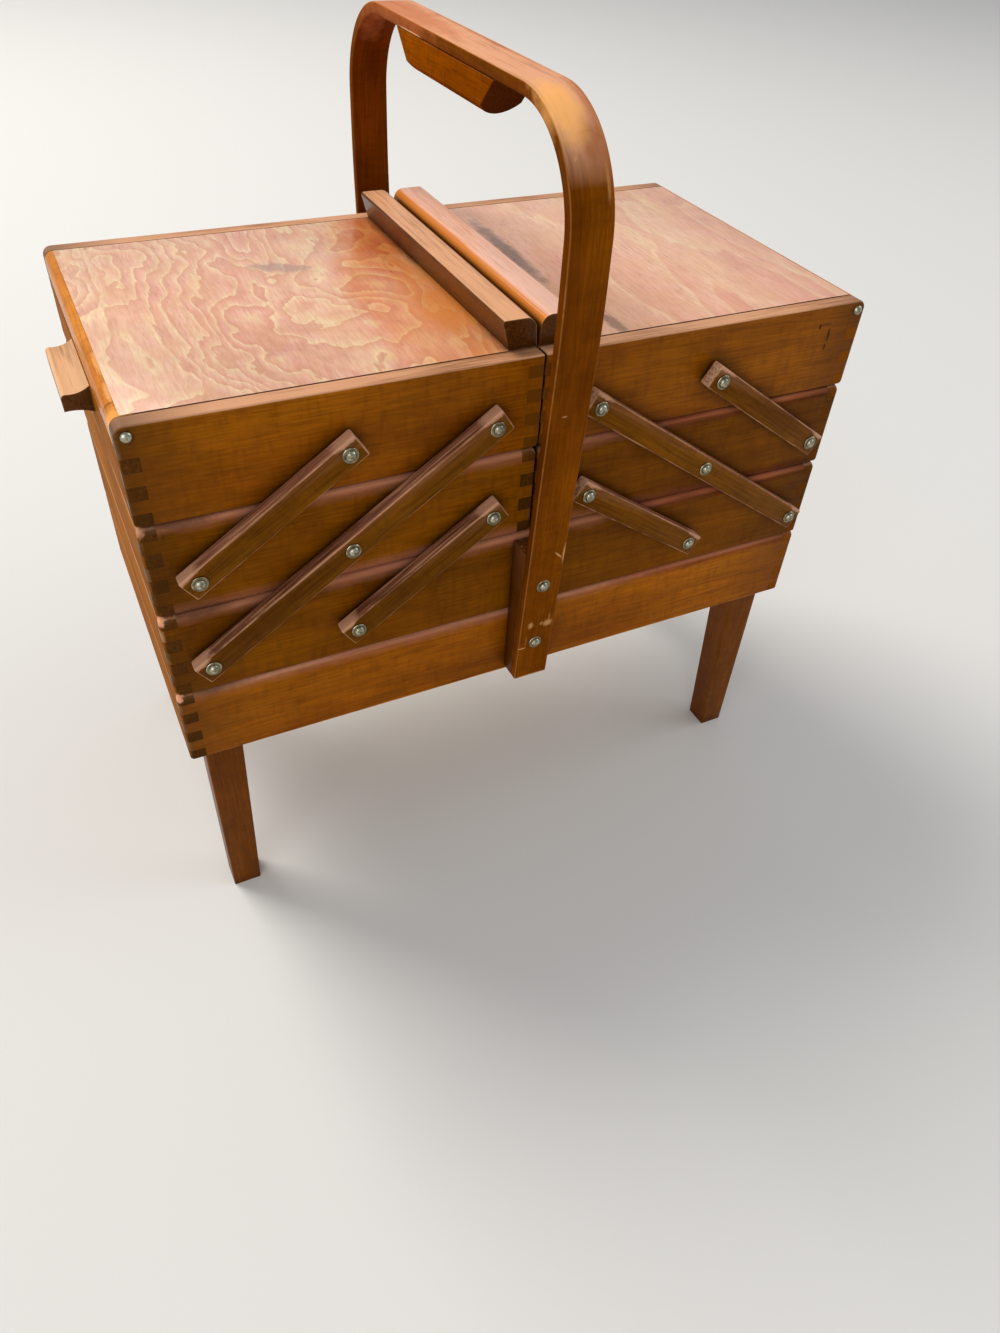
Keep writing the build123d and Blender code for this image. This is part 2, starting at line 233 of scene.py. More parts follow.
def edgeMask(tree, radius, low, high):
    # 1 along sharp edges and 0 on flats: how far a bevelled normal leans from the true one
    bevel = addNode(tree, "ShaderNodeBevel", samples=4)
    bevel.inputs["Radius"].default_value = radius
    geometry = addNode(tree, "ShaderNodeNewGeometry")
    dot = addNode(tree, "ShaderNodeVectorMath", operation="DOT_PRODUCT")
    tree.links.new(bevel.outputs[0], dot.inputs[0])
    tree.links.new(geometry.outputs["Normal"], dot.inputs[1])
    lean = calc(tree, "SUBTRACT", 1.0, dot.outputs["Value"], clamp=True)
    return ramp(tree, lean, [(low, 0), (high, 1)])


def cornerShadeAndDirt(tree, reach, stops):
    # painted shade in hollows and gaps, together with the dirt and old varnish that stay there
    hollow = addNode(tree, "ShaderNodeAmbientOcclusion", samples=3)
    hollow.inputs["Distance"].default_value = reach
    return ramp(tree, hollow.outputs["AO"], stops)


def addBump(tree, shader, height, strength, distance):
    bump = addNode(tree, "ShaderNodeBump")
    bump.inputs["Strength"].default_value = strength
    bump.inputs["Distance"].default_value = distance
    feed(tree, bump.inputs["Height"], height)
    feed(tree, shader.inputs["Normal"], bump.outputs[0])


# varnished wood

wood = {
    "pale": tone(178, 102, 4),
    "mid": tone(146, 76, 0),
    "dark": tone(78, 36, 0),
    "worn": tone(226, 176, 122),
    "bloom": tone(206, 138, 104),  # painted sheen: a pale sky reflection painted on upward faces
    "bloomAmount": 0.8,
    "bloomRange": (0.05, 0.5),
    "streaks": 0.0,  # pale streaks in the painted sheen
    "paintedGlow": None,  # painted light: colour of surfaces that look partly up
    "innerShade": None,  # painted shade on the inner face of a bent strip
    "endRange": (0.72, 0.86),
    "endPale": tone(140, 82, 14),
    "endDark": tone(72, 38, 6),
    "endChips": 0.3,
    "grime": tone(30, 14, 4),
    "grimeReach": 0.012,
    "dirtyEnds": None,  # axis, where the dirt starts and where it is darkest
    "grain": (0, 0, 0),
    "across": (1.3, 10.0, 14.0),
    "rings": 7.0,
    "ringColour": tone(104, 50, 4),
    "ringStops": [(0.0, 0.0), (0.6, 0.5), (0.9, 1.0), (1.0, 0.0)],
    "ringDepth": 0.25,
    "lateWood": 0.0,  # darker wood before each ring
    "tilt": 0.0,
    "cutFrom": None,  # a fixed stretch of wood, else one by the piece's name
    "wobble": 0.3,
    "ringDetail": 2.5,
    "fibreScale": (34, 760, 760),
    "fibre": 0.35,
    "chatter": 0.25,  # short marks across the grain
    "cloud": 0.6,
    "mottle": 0.35,
    "wear": 0.4,
    "seam": 0.0,
    "wornEnds": None,  # axis, where it starts and where it is full
    "wearWidth": 0.0014,
    "arris": 0.0,
    "gloss": 0.34,
    "specular": 0.08,
    "coat": 0.02,
    "followed": "",
    "marks": [],
}

# the same in every wood: scales of the noises and where they start and end
figure = {
    "stretches": (3.7, 5.3, 2.9),
    "pores": {"scale": (110, 2300, 2300), "stops": [(0.60, 0), (0.74, 0.4)]},
    "patches": {"scale": (6, 24, 24), "stops": [(0.34, 0), (0.66, 1)]},
    "chatter": {"scale": (260, 70, 70), "range": (0.5, 0.75)},
    "cloud": {"scale": (8, 11, 11), "stops": [(0.3, 0.6), (0.7, 1.0)]},
    "mottle": {"scale": 62, "stops": [(0.36, 0.55), (0.62, 1.0)]},
    "fibres": (0.35, 0.62),
    "lateWood": (0.45, 0.93, 0.97),
    "rubbed": {"patches": 0.6, "fibres": 0.4, "stops": [(0.38, 0.35), (0.54, 1)]},
    "paintedGlow": [(0.12, 0), (0.5, 0.9)],
    "streaks": {"scale": (22, 520, 520), "pale": (0.52, 0.62), "dark": (0.38, 0.47)},
    "inner": (-0.0050, -0.0062),  # depths in a bent strip
    "speckle": {"scale": 620, "stops": [(0.40, 0), (0.66, 1)]},
    "chips": {"scale": 240, "range": (0.58, 0.66)},
    "endAmount": 0.8,
    "edgeLean": (0.03, 0.2),
    "patchy": {"scale": 48, "stops": [(0.42, 0.1), (0.62, 1)]},
    "endWear": 0.7,
    "arrisRange": (0.3, 0.48),
    "stripSide": (0.0112, 0.0118),
    "stripDepth": (-0.0010, -0.0003),
    "stripLeast": 0.55,
    "dirtAndShade": [(0.2, 0.95), (0.78, 0)],
    "soiled": [(0.3, 0.2), (0.6, 0.75)],
    "specularTint": tone(255, 214, 160),
    "coatRoughness": 0.12,
    "roughness": {"fibres": 0.16, "less": 0.06, "worn": 0.3},
    "relief": {"fibres": 0.5, "rings": -0.12, "waves": 90, "strength": 0.4, "height": 0.0003},
}

spotShape = {"turn": (0, 0, 0), "way": "MIX", "ragged": 1.2, "grain": 160, "start": 0.25, "full": 0.6}


def spots(*rows, **shared):
    # a row is place, size, amount, colour and, if turned, the angle about the third axis
    marks = []
    for row in rows:
        mark = dict(zip(("place", "size", "amount", "colour", "angle"), row))
        mark["turn"] = (0, 0, mark.pop("angle", 0))
        marks.append(spotShape | mark | shared)
    return marks


def softSpot(tree, vector, mark):
    # 1 in the middle of a soft ellipsoid and 0 outside it, its rim broken up by noise
    centred = moveVector(tree, vector, place=[-value for value in mark["place"]])
    turned = moveVector(tree, centred, turn=mark["turn"])
    scaled = moveVector(tree, turned, scale=[1 / value for value in mark["size"]])
    ball = addNode(tree, "ShaderNodeTexGradient", gradient_type="SPHERICAL")
    tree.links.new(scaled, ball.inputs[0])
    broken = noise(tree, vector, mark["grain"], detail=4, roughness=0.65)
    uneven = times(tree, calc(tree, "SUBTRACT", broken, 0.5), mark["ragged"])
    inside = calc(tree, "ADD", ball.outputs["Fac"], uneven)
    inside = times(tree, inside, calc(tree, "GREATER_THAN", ball.outputs["Fac"], 0.0))
    return ramp(tree, inside, [(mark["start"], 0), (mark["full"], mark["amount"])])


def cutPlank(tree, look, place):
    # every board is cut from another stretch of wood
    if look["cutFrom"]:
        cut = moveVector(tree, place, place=look["cutFrom"])
    else:
        lot = addNode(tree, "ShaderNodeObjectInfo").outputs["Random"]
        stretch = addNode(tree, "ShaderNodeCombineXYZ")
        for axis, reach in enumerate(figure["stretches"]):
            tree.links.new(times(tree, lot, reach), stretch.inputs[axis])
        added = addNode(tree, "ShaderNodeVectorMath", operation="ADD")
        tree.links.new(place, added.inputs[0])
        tree.links.new(stretch.outputs[0], added.inputs[1])
        cut = added.outputs[0]
    return moveVector(tree, cut, turn=look["grain"])


def growthRings(tree, look, along):
    # the contours of a slow noise, stretched along the grain
    field = stretched(
        tree, along, look["across"], detail=look["ringDetail"], roughness=0.45, distortion=look["wobble"],
    )
    if look["tilt"]:
        # the figure then runs mostly along the grain, with a few islands
        field = calc(tree, "ADD", field, times(tree, splitVector(tree, along)[1], look["tilt"]))
    return calc(tree, "FRACT", times(tree, field, look["rings"]))


def plainWood(tree, look, along, rings, ringTone, fibres, patches):
    colour = blendColour(tree, ramp(tree, patches, figure["patches"]["stops"]), look["mid"], look["pale"])
    colour = blendColour(tree, times(tree, ringTone, look["ringDepth"]), colour, look["ringColour"])
    start, full, end = figure["lateWood"]
    lateWood = ramp(tree, rings, [(start, 0), (full, look["lateWood"]), (end, 0)])
    colour = blendColour(tree, lateWood, colour, look["dark"])
    full, end = figure["fibres"]
    colour = blendColour(tree, ramp(tree, fibres, [(full, look["fibre"]), (end, 0)]), colour, look["dark"])
    start, full = figure["chatter"]["range"]
    chatter = stretched(tree, along, figure["chatter"]["scale"], detail=2)
    chatter = ramp(tree, chatter, [(start, 0), (full, look["chatter"])])
    colour = blendColour(tree, chatter, colour, look["dark"])
    pores = stretched(tree, along, figure["pores"]["scale"], detail=1)
    colour = blendColour(tree, ramp(tree, pores, figure["pores"]["stops"]), colour, look["dark"])
    cloud = ramp(tree, stretched(tree, along, figure["cloud"]["scale"], detail=3), figure["cloud"]["stops"])
    colour = blendColour(tree, look["cloud"], colour, cloud, "MULTIPLY")
    mottle = noise(tree, along, figure["mottle"]["scale"], detail=4, roughness=0.7)
    mottle = ramp(tree, mottle, figure["mottle"]["stops"])
    return blendColour(tree, look["mottle"], colour, mottle, "MULTIPLY")


def woodWithPaintedSheen(tree, look, along, colour, height, fibres, patches):
    # height is how far the surface looks up
    # painted sheen: faces that look up are lightened as if they reflected the sky, broken up in patches
    low, high = look["bloomRange"]
    upward = ramp(tree, height, [(low, 0), (high, look["bloomAmount"])])
    rubbing = figure["rubbed"]
    fibrous = times(tree, fibres, rubbing["fibres"])
    rubbed = calc(tree, "ADD", times(tree, patches, rubbing["patches"]), fibrous)
    # painted light on faces that look partly up
    if look["paintedGlow"]:
        colour = blendColour(tree, ramp(tree, height, figure["paintedGlow"]), colour, look["paintedGlow"])
    sheenMask = times(tree, upward, ramp(tree, rubbed, rubbing["stops"]))
    colour = blendColour(tree, sheenMask, colour, look["bloom"])
    if look["streaks"]:
        streaky = stretched(tree, along, figure["streaks"]["scale"], detail=4, roughness=0.62)
        start, full = figure["streaks"]["pale"]
        pale = ramp(tree, streaky, [(start, 0), (full, look["streaks"])])
        colour = blendColour(tree, times(tree, upward, pale), colour, look["worn"])
        full, end = figure["streaks"]["dark"]
        soiled = ramp(tree, streaky, [(full, look["streaks"]), (end, 0)])
        colour = blendColour(tree, times(tree, upward, soiled), colour, look["dark"])
    return colour


def endGrain(tree, look, along, colour, facing):
    # shows where the surface looks along the grain
    turned = moveVector(tree, facing, turn=look["grain"])
    endwise = calc(tree, "ABSOLUTE", splitVector(tree, turned)[0])
    speckle = noise(tree, along, figure["speckle"]["scale"], detail=3, roughness=0.7)
    speckle = ramp(tree, speckle, figure["speckle"]["stops"])
    endTone = blendColour(tree, speckle, look["endDark"], look["endPale"])
    start, full = figure["chips"]["range"]
    chips = noise(tree, along, figure["chips"]["scale"], detail=4, roughness=0.7)
    chips = ramp(tree, chips, [(start, 0), (full, look["endChips"])])
    endTone = blendColour(tree, chips, endTone, look["worn"])
    start, full = look["endRange"]
    atEnd = ramp(tree, endwise, [(start, 0), (full, figure["endAmount"])])
    return blendColour(tree, atEnd, colour, endTone)


def rubbedEdges(tree, look, place, facing, edges, patchy):
    # 1 where the varnish is gone
    worn = times(tree, times(tree, edges, patchy), look["wear"])
    if look["wornEnds"]:
        axis, start, full = look["wornEnds"]
        ended = between(tree, calc(tree, "ABSOLUTE", splitVector(tree, place)[axis]), start, full)
        rubbed = times(tree, times(tree, ended, patchy), figure["endWear"])
        worn = calc(tree, "MAXIMUM", worn, rubbed)
    if look["arris"]:
        # on a rounded arris the surface looks two ways at once
        turned = splitVector(tree, moveVector(tree, facing, turn=look["grain"]))
        both = calc(tree, "ABSOLUTE", times(tree, turned[1], turned[2]))
        ended = calc(tree, "ABSOLUTE", times(tree, turned[0], calc(tree, "ADD", turned[1], turned[2])))
        start, full = figure["arrisRange"]
        rounded = ramp(tree, calc(tree, "ADD", both, ended), [(start, 0), (full, look["arris"])])
        worn = calc(tree, "MAXIMUM", worn, times(tree, rounded, patchy))
    if look["followed"]:
        # outer arrises of a bent strip, by its straight places
        straight = splitVector(tree, place)
        side = between(tree, calc(tree, "ABSOLUTE", straight[1]), *figure["stripSide"])
        depth = between(tree, straight[2], *figure["stripDepth"])
        outer = times(tree, times(tree, side, depth), look["wear"])
        lasting = calc(tree, "MAXIMUM", patchy, figure["stripLeast"])
        worn = calc(tree, "MAXIMUM", worn, times(tree, outer, lasting))
    return worn


def woodMaterial(name, **changes):
    look = wood | changes
    material, tree, shader = startMaterial(name)
    coordinates = addNode(tree, "ShaderNodeTexCoord")
    facing = coordinates.outputs["Normal"]  # the way the surface looks, in the piece's own axes
    if look["followed"]:
        place = addNode(tree, "ShaderNodeAttribute", attribute_name=look["followed"]).outputs["Vector"]
    else:
        place = coordinates.outputs["Object"]

    along = cutPlank(tree, look, place)
    rings = growthRings(tree, look, along)
    ringTone = ramp(tree, rings, look["ringStops"])
    fibres = stretched(tree, along, look["fibreScale"], detail=3, roughness=0.6)
    patches = stretched(tree, along, figure["patches"]["scale"], detail=3, roughness=0.55)
    colour = plainWood(tree, look, along, rings, ringTone, fibres, patches)
    colour = woodWithPaintedSheen(tree, look, along, colour, splitVector(tree, facing)[2], fibres, patches)
    if look["innerShade"]:
        # painted shade on the strip's inner face
        inner = between(tree, splitVector(tree, place)[2], *figure["inner"])
        colour = blendColour(tree, inner, colour, look["innerShade"], "MULTIPLY")
    if not look["followed"]:
        colour = endGrain(tree, look, along, colour, facing)

    edges = edgeMask(tree, look["wearWidth"], *figure["edgeLean"])
    patchy = noise(tree, along, figure["patchy"]["scale"], detail=6, roughness=0.68)
    patchy = ramp(tree, patchy, figure["patchy"]["stops"])
    worn = rubbedEdges(tree, look, place, facing, edges, patchy)
    colour = blendColour(tree, worn, colour, look["worn"])
    if look["seam"]:
        seam = times(tree, times(tree, edges, patchy), look["seam"])
        colour = blendColour(tree, seam, colour, look["grime"])
    # painted shade in hollows and gaps between parts, together with grime
    colour = blendColour(tree, cornerShadeAndDirt(tree, look["grimeReach"], figure["dirtAndShade"]), colour, look["grime"])
    if look["dirtyEnds"]:
        # hands and knocks darken a board towards its ends
        axis, clean, dirty = look["dirtyEnds"]
        soiled = between(tree, calc(tree, "ABSOLUTE", splitVector(tree, place)[axis]), clean, dirty)
        soiled = times(tree, soiled, ramp(tree, patches, figure["soiled"]))
        colour = blendColour(tree, soiled, colour, look["endDark"])
    for mark in look["marks"]:
        colour = blendColour(tree, softSpot(tree, place, mark), colour, mark["colour"], mark["way"])

    dull = figure["roughness"]
    rough = calc(tree, "ADD", times(tree, fibres, dull["fibres"]), look["gloss"] - dull["less"])
    rough = calc(tree, "ADD", rough, times(tree, worn, dull["worn"]))
    feed(tree, shader.inputs["Base Color"], colour)
    feed(tree, shader.inputs["Roughness"], rough)
    shader.inputs["Specular IOR Level"].default_value = look["specular"]
    shader.inputs["Specular Tint"].default_value = figure["specularTint"]
    shader.inputs["Coat Weight"].default_value = look["coat"]
    shader.inputs["Coat Roughness"].default_value = figure["coatRoughness"]
    relief = figure["relief"]
    raised = times(tree, fibres, relief["fibres"])
    height = calc(tree, "ADD", raised, times(tree, ringTone, relief["rings"]))
    height = calc(tree, "ADD", height, noise(tree, along, relief["waves"], detail=2))
    addBump(tree, shader, height, relief["strength"], relief["height"])
    return material


# nickelled steel

metal = {
    "bright": tone(196, 192, 174),
    "dull": tone(130, 124, 98),
    "dirtAndShade": tone(50, 40, 24),
    "flat": tone(214, 206, 182),  # the flats of flanges and washers are duller than the domes
    "tarnishScale": 420,
    "tarnish": [(0.36, 0), (0.62, 1)],
    "spotScale": 1500,
    "spots": [(0.62, 0), (0.72, 0.5)],
    "grimeReach": 0.002,
    "grime": [(0.3, 0.8), (0.75, 0)],
    "flatRange": [(0.975, 0), (0.99, 1)],
    "roughness": [(0.3, 0.36), (0.7, 0.18)],
    "flatRoughness": 0.22,
    "relief": {"strength": 0.3, "height": 0.00008},
}


def metalMaterial(name):
    material, tree, shader = startMaterial(name)
    coordinates = addNode(tree, "ShaderNodeTexCoord")
    place = coordinates.outputs["Object"]
    tarnish = noise(tree, place, metal["tarnishScale"], detail=4, roughness=0.65)
    spotted = ramp(tree, noise(tree, place, metal["spotScale"], detail=2), metal["spots"])
    colour = blendColour(tree, ramp(tree, tarnish, metal["tarnish"]), metal["dull"], metal["bright"])
    colour = blendColour(tree, spotted, colour, metal["dirtAndShade"])
    # painted shade in the hollows round the heads, together with dirt
    colour = blendColour(tree, cornerShadeAndDirt(tree, metal["grimeReach"], metal["grime"]), colour, metal["dirtAndShade"])
    endwise = calc(tree, "ABSOLUTE", splitVector(tree, coordinates.outputs["Normal"])[1])
    flat = ramp(tree, endwise, metal["flatRange"])
    colour = blendColour(tree, flat, colour, metal["flat"], "MULTIPLY")
    rough = ramp(tree, tarnish, metal["roughness"])
    rough = calc(tree, "ADD", rough, times(tree, flat, metal["flatRoughness"]))
    feed(tree, shader.inputs["Base Color"], colour)
    feed(tree, shader.inputs["Roughness"], rough)
    shader.inputs["Metallic"].default_value = 1.0
    addBump(tree, shader, tarnish, metal["relief"]["strength"], metal["relief"]["height"])
    return material


joints = {joint["name"]: joint for joint in frame["joints"]}


def pivot(name):
    return Vector(joints[name]["pos_m"])


armReach = pivot("left_mid_level") - pivot("left_spread")
armAngle = math.degrees(math.atan2(armReach.z, armReach.x))
alongX, alongY, alongZ = (0, 0, 0), (0, 0, -90), (0, 90, 0)

armTones = {
    "pale": tone(136, 82, 4),
    "mid": tone(101, 56, 0),
    "dark": tone(56, 28, 0),
    "specular": 0.05,
    "worn": tone(214, 160, 118),
    "bloom": tone(160, 104, 82),
    "streaks": 0.7,
    # end grain painted pale: the wood's end grain with a painted highlight on the arms' ends
    "endPale": tone(236, 196, 156),
    "endDark": tone(158, 108, 76),
    "endChips": 0.4,
    "grimeReach": 0.005,
    "wear": 0.9,
    "arris": 0.6,
    "fibre": 0.5,
    "mottle": 0.2,
    "cloud": 0.4,
}
orangeTones = {
    "pale": tone(248, 158, 46),
    "mid": tone(228, 124, 20),
    "dark": tone(154, 70, 6),
    "gloss": 0.3,
    "specular": 0.06,
    "coat": 0.08,
}
veneerLook = {
    "grain": alongY,
    "across": (7.0, 13.0, 13.0),
    "rings": 17.0,
    "tilt": 2.0,
    "lateWood": 0.34,
    "wobble": 0.5,
    "ringDetail": 4.5,
    "cutFrom": (0.31, 0.12, 0),
    "ringColour": tone(255, 232, 184),
    "ringStops": [(0.0, 1.0), (0.08, 0.75), (0.28, 0.2), (0.6, 0.0), (0.92, 0.1), (1.0, 1.0)],
    "ringDepth": 0.75,
    "pale": tone(248, 201, 172),
    "mid": tone(242, 179, 160),
    "dark": tone(196, 114, 80),
    "grime": tone(70, 34, 14),
    "grimeReach": 0.006,
    "bloomAmount": 0.0,
    "fibreScale": (70, 620, 620),
    "fibre": 0.3,
    "chatter": 0.0,
    "cloud": 0.12,
    "mottle": 0.15,
    "gloss": 0.26,
    "specular": 0.16,
    "coat": 0.16,
    "wear": 0.3,
}
softFigure = {
    "across": (3.0, 12.0, 12.0),
    "rings": 7.0,
    "tilt": 1.0,
    "ringDepth": 0.4,
    "lateWood": 0.15,
    "wobble": 0.4,
    "cutFrom": (0.74, 0.2, 0),
}
lipLook = {
    "grain": alongY,
    "pale": tone(150, 84, 10),
    "mid": tone(122, 62, 2),
    "dark": tone(66, 30, 0),
    "paintedGlow": tone(232, 134, 44),
    "bloomRange": (0.84, 0.97),
    "bloomAmount": 0.9,
    "streaks": 0.15,
    "endPale": tone(88, 48, 14),
    "endDark": tone(56, 27, 7),
    "endChips": 0.05,
    "gloss": 0.22,
    "specular": 0.1,
    "coat": 0.1,
}
# the left lip is painted darker and without the painted glow: painted shade, as its rounded side faces away
# from the light
shadedLip = {"pale": tone(124, 66, 8), "mid": tone(100, 48, 2), "dark": tone(58, 26, 0), "paintedGlow": None}
boardEnds = {
    "dirtyEnds": (0, 0.178, 0.228),
    "wornEnds": (0, 0.2228, 0.2246),
    "wear": 0.0,
    "seam": 0.75,
    "wearWidth": 0.0009,
    "endPale": tone(88, 53, 14),
    "endDark": tone(50, 28, 8),
    "endChips": 0.1,
    "bloom": tone(230, 172, 132),
}

# left lid: a painted reflection of the lip and handle in orange along the lip, a smudge and painted shade
# dulling the near corner
# right lid: a painted shadow of the lip in grey along it, and a grey stain by the lip
lidMarks = {
    "left": spots(
        # painted reflection: orange along the lip, where the lip and handle are reflected instead of the
        # sky
        ((-0.024, 0.010, 0.377), (0.062, 0.22, 0.06), 0.6, tone(254, 210, 148), 10),
        way="MULTIPLY", ragged=0.6, grain=28, start=0.15, full=0.4,
    ) + spots(
        ((-0.022, 0.070, 0.377), (0.036, 0.080, 0.06), 0.7, tone(240, 176, 90), 10),
        way="MULTIPLY", ragged=1.1, grain=60, start=0.1,
    ) + spots(
        ((-0.024, -0.036, 0.377), (0.030, 0.085, 0.06), 0.6, tone(244, 146, 52), 6),
        grain=60, start=0.1, full=0.7,
    ) + spots(
        ((-0.098, 0.040, 0.377), (0.030, 0.012, 0.02), 0.5, tone(150, 128, 122), 25),
    ) + spots(
        # painted shade dimming the near corner, where the lamps fall brightest
        ((-0.205, -0.098, 0.377), (0.13, 0.11, 0.06), 1.0, tone(241, 242, 244)),
        way="MULTIPLY", ragged=0.2, grain=30, start=0.0,
    ),
    "right": spots(
        # painted shadow of the lip along its right side
        ((0.0460, 0.022, 0.377), (0.0085, 0.080, 0.02), 0.75, tone(104, 92, 90), 2),
        ragged=1.0, grain=90, start=0.1, full=0.65,
    ) + spots(
        ((0.0555, -0.096, 0.377), (0.006, 0.018, 0.02), 0.6, tone(110, 92, 84)),
        ragged=1.0, grain=150, start=0.1, full=0.5,
    ),
}
# pale rubbed patches and a dark nick towards the near end of the left edging
edgingMarks = spots(
    ((-0.2245, -0.108, 0.376), (0.012, 0.013, 0.010), 0.7, tone(250, 172, 84)),
    ((-0.2200, -0.082, 0.3775), (0.003, 0.016, 0.003), 0.7, tone(246, 176, 104)),
    ((-0.2200, -0.050, 0.3775), (0.0024, 0.020, 0.003), 0.6, tone(246, 176, 104)),
    ((-0.2245, -0.0935, 0.376), (0.008, 0.0016, 0.008), 0.6, tone(120, 62, 20)),
    ragged=1.0, grain=260, start=0.1, full=0.5,
)
# scuffs, then stains over the shoulder and the top, a painted highlight on the shoulder and glue at the
# grip's back end;
# places are along the strap from its front foot, across it and into it
scuff = tone(198, 146, 90)
strapMarks = spots(
    ((0.0484, -0.0052, 0), (0.0036, 0.0024, 0.003), 0.75, scuff),
    ((0.0474, 0.0073, 0), (0.0036, 0.0044, 0.003), 0.8, scuff),
    ((0.0482, 0.0026, 0), (0.0022, 0.0016, 0.003), 0.5, scuff),
    ((0.0524, 0.0078, 0), (0.0050, 0.0008, 0.003), 0.3, scuff),
    ((0.0345, -0.0070, 0), (0.0070, 0.0007, 0.003), 0.25, scuff),
    ((0.0289, -0.0095, 0), (0.0007, 0.0040, 0.003), 1.0, scuff),
    ((0.0006, 0, 0), (0.0014, 0.0180, 0.003), 0.7, scuff),
    ((0.1047, 0.0112, 0), (0.0100, 0.0013, 0.003), 0.9, scuff),
    ((0.1040, 0.0074, 0), (0.0048, 0.0009, 0.003), 0.9, scuff, 44),
    ((0.2020, -0.0030, 0), (0.0008, 0.0022, 0.003), 0.5, scuff),
    ((0.3360, -0.0095, 0), (0.0032, 0.0012, 0.003), 0.9, scuff, 25),
    ((0.3290, -0.0060, 0), (0.0030, 0.0011, 0.003), 0.8, scuff, -30),
    ((0.3400, 0.0020, 0), (0.0008, 0.0090, 0.003), 0.5, scuff, 8),
    ((0.3180, 0.0090, 0), (0.0120, 0.0012, 0.003), 0.6, scuff),
    ragged=0.9, grain=700, start=0.05,
) + spots(
    ((0.3450, 0.0125, 0), (0.0600, 0.0085, 0.02), 0.55, tone(164, 86, 26)),
    ((0.3360, 0.0040, 0), (0.0180, 0.0080, 0.02), 0.5, tone(150, 78, 16)),
    # painted highlight on the shoulder
    ((0.3560, -0.0040, 0), (0.0300, 0.0130, 0.02), 0.75, tone(255, 184, 104)),
    ((0.4700, 0.0125, 0), (0.1000, 0.0060, 0.02), 0.6, tone(170, 92, 52)),
    ((0.5450, -0.0040, 0), (0.1000, 0.0160, 0.02), 0.6, tone(192, 108, 68)),
    ((0.5180, -0.0120, -0.0058), (0.022, 0.003, 0.0009), 0.9, tone(226, 176, 124)),
    ragged=0.7, grain=90, start=0.1,
)
# dark knocks by the right lid's pin
boardMarks = spots(
    ((0.1925, -0.118, 0.3640), (0.0012, 0.004, 0.0022), 0.9, tone(40, 16, 8)),
    ((0.2010, -0.118, 0.3580), (0.0011, 0.004, 0.0050), 0.9, tone(46, 20, 8)),
    ((0.2005, -0.118, 0.3500), (0.0010, 0.004, 0.0026), 0.8, tone(46, 20, 8)),
    ((0.1975, -0.118, 0.3650), (0.0050, 0.004, 0.0010), 0.6, tone(70, 36, 12)),
    ragged=0.6, grain=900, start=0.05, full=0.4,
)
# the bare arris under the base
bottomArris = spots(
    ((0, 0, 0.1503), (0.36, 0.30, 0.0014), 0.6, tone(206, 138, 66)),
    ragged=1.0, grain=90, start=0.1, full=0.5,
)
rims = {"base": 0.2040, "lower": 0.2620, "middle": 0.3203}  # heights of the open upper edges


def rimMarks(height):
    # along an upper edge: a pinkish painted reflection, painted shade on the right and dirt on the left
    return spots(
        # painted reflection on the rounded rim
        ((-0.06, 0, height), (0.36, 0.30, 0.0125), 0.65, tone(160, 98, 76)),
        ragged=0.5, grain=60, start=0.15,
    ) + spots(
        # painted shade towards the right
        ((0.16, -0.118, height), (0.15, 0.02, 0.010), 0.7, tone(190, 138, 112)),
        way="MULTIPLY", ragged=0.4, grain=60, start=0.1, full=0.5,
    ) + spots(
        ((-0.202, -0.118, height), (0.026, 0.012, 0.0060), 0.55, tone(70, 44, 34)),
        ragged=1.0, grain=120, start=0.1,
    ) + knockedCorner(height)


def knockedCorner(height):
    # bare wood at the front's left corner, less of it on the middle tray
    amount = 0.4 if height == rims["middle"] else 0.9
    return spots(
        ((-0.2248, -0.1172, height - 0.0015), (0.0046, 0.0056, 0.0050), amount, tone(236, 168, 130)),
        ragged=1.1, grain=420, start=0.1, full=0.4,
    )


# varnish gone orange over joints of the front: across, height, reach, amount and colour
sunnyJoints = [
    (0.2235, 0.347, 0.040, 0.7, tone(140, 76, 6)),
    (0.2235, 0.292, 0.034, 0.6, tone(112, 60, 4)),
    (0.2235, 0.234, 0.034, 0.6, tone(112, 60, 4)),
    (0.2235, 0.178, 0.040, 0.6, tone(150, 80, 8)),
    (-0.0060, 0.347, 0.040, 0.5, tone(128, 72, 12)),
]
endMarks = [mark for height in rims.values() for mark in knockedCorner(height)]
for across, height, reach, amount, colour in sunnyJoints:
    endMarks += spots(
        ((across, -0.1190, height), (0.017, 0.005, reach), amount, colour),
        ragged=0.3, grain=120, start=0.0, full=0.35,
    )

bareEnds = {"beyondFoot": 0.004, "beyondHead": 0.003, "rise": 0.0075, "size": (0.012, 0.60, 0.0032)}


def armEnds(sideName, side):
    # bare wood on the upper faces near both ends of each arm
    lean = math.radians(armAngle)
    along = Vector((-side * math.cos(lean), 0, math.sin(lean)))
    upward = Vector((side * math.sin(lean), 0, math.cos(lean)))
    step = pivot(f"{sideName}_mid_level") - pivot(f"{sideName}_spread")
    marks = []
    for kind, reach in (("spread", 2), ("lower_swing", 1), ("upper_swing", 1)):
        foot = pivot(f"{sideName}_{kind}")
        head = foot + step * reach
        for end in (foot - along * bareEnds["beyondFoot"], head + along * bareEnds["beyondHead"]):
            place = end + upward * bareEnds["rise"]
            marks += spots(
                ((place.x, 0, place.z), bareEnds["size"], 0.7, tone(214, 160, 126)),
                turn=(0, -side * armAngle, 0), ragged=0.9, grain=220, start=0.1, full=0.5,
            )
    return marks


